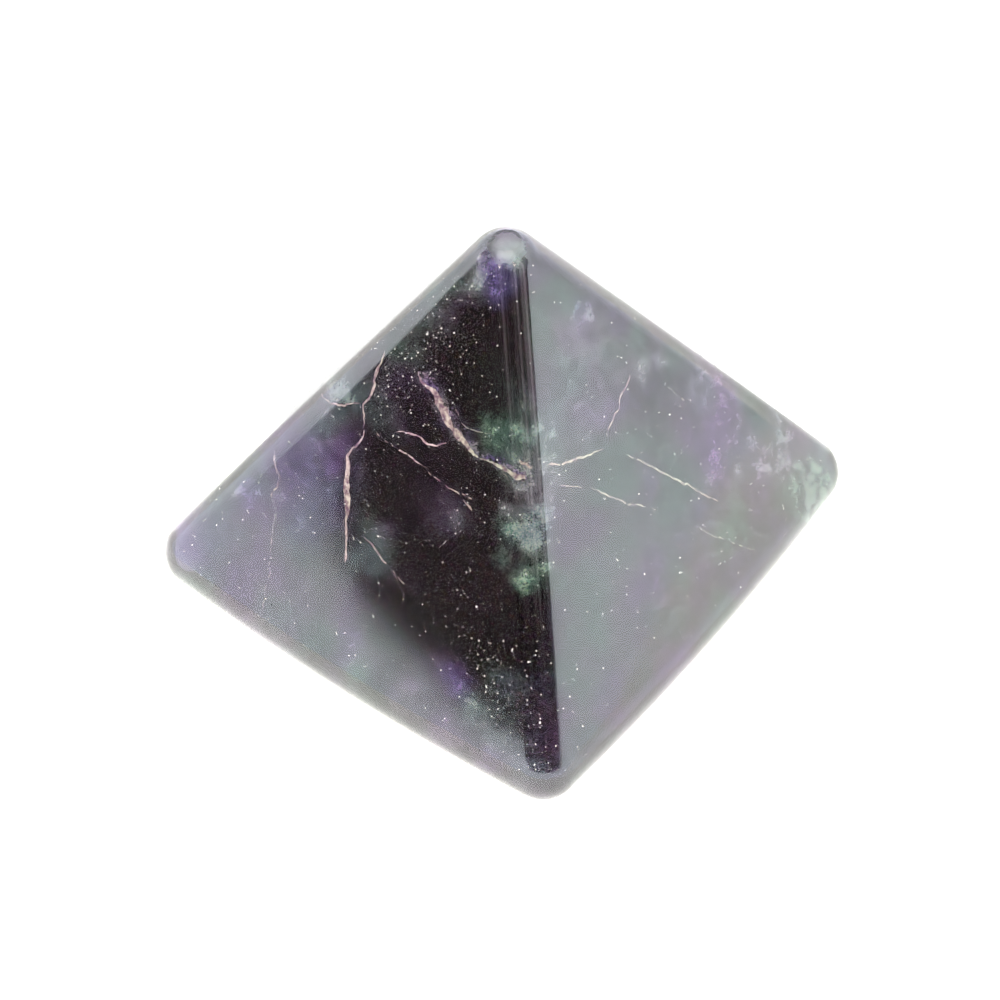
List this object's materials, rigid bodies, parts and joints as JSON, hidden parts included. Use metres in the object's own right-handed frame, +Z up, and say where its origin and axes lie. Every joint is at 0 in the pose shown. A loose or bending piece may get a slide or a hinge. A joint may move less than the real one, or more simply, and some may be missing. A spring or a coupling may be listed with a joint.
{
  "type": "fluorite pyramid",
  "caption": "Polished fluorite pyramid with rounded ridges, corners and base edge and a worn tip, resting on its flat base.",
  "frame": {"origin": "middle of the flat base, at the bottom centre of the stone's box", "axes": "+Z up from the base to the tip, +X along the longer side of the base, +Y along the shorter side"},
  "size_m": [0.03, 0.0286, 0.0232],
  "materials": {
    "fluorite": "polished, dark violet with green zones, clear only where it is thin"
  },
  "bodies": {
    "root": {"fluorite_pyramid": "fluorite"}
  },
  "joints": []
}
